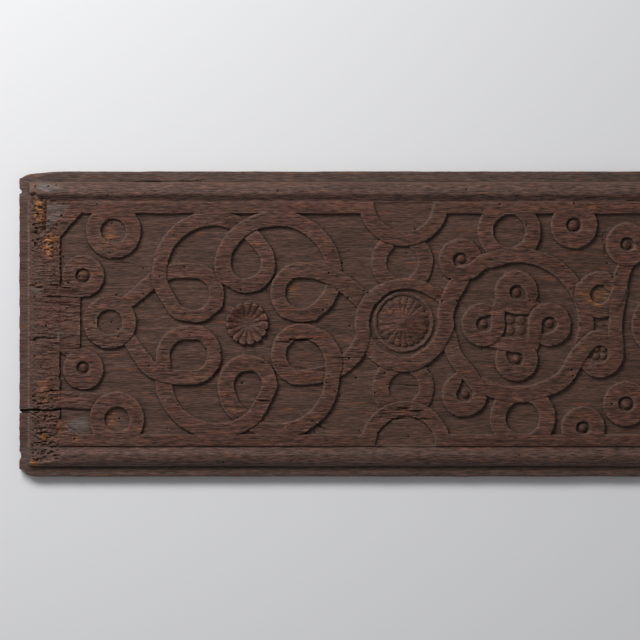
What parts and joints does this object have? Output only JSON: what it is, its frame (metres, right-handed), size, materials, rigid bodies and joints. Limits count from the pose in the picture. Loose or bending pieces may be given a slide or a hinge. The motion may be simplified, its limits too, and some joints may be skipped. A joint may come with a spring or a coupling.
{
  "type": "carved oak panel",
  "caption": "Long oak board carved in low relief with looped strapwork, rings, studs and rosettes between moulded borders, sawn square at one end.",
  "frame": {"origin": "centre of the plank's flat underside", "axes": "+X along the plank towards the sawn end, +Y across it towards the top edge of the picture, +Z out of the carved face"},
  "size_m": [0.814, 0.398, 0.028],
  "materials": {
    "oak": "old dark oak, worn and waxed, dull satin"
  },
  "bodies": {
    "root": {"carved_panel": "oak"}
  },
  "joints": []
}
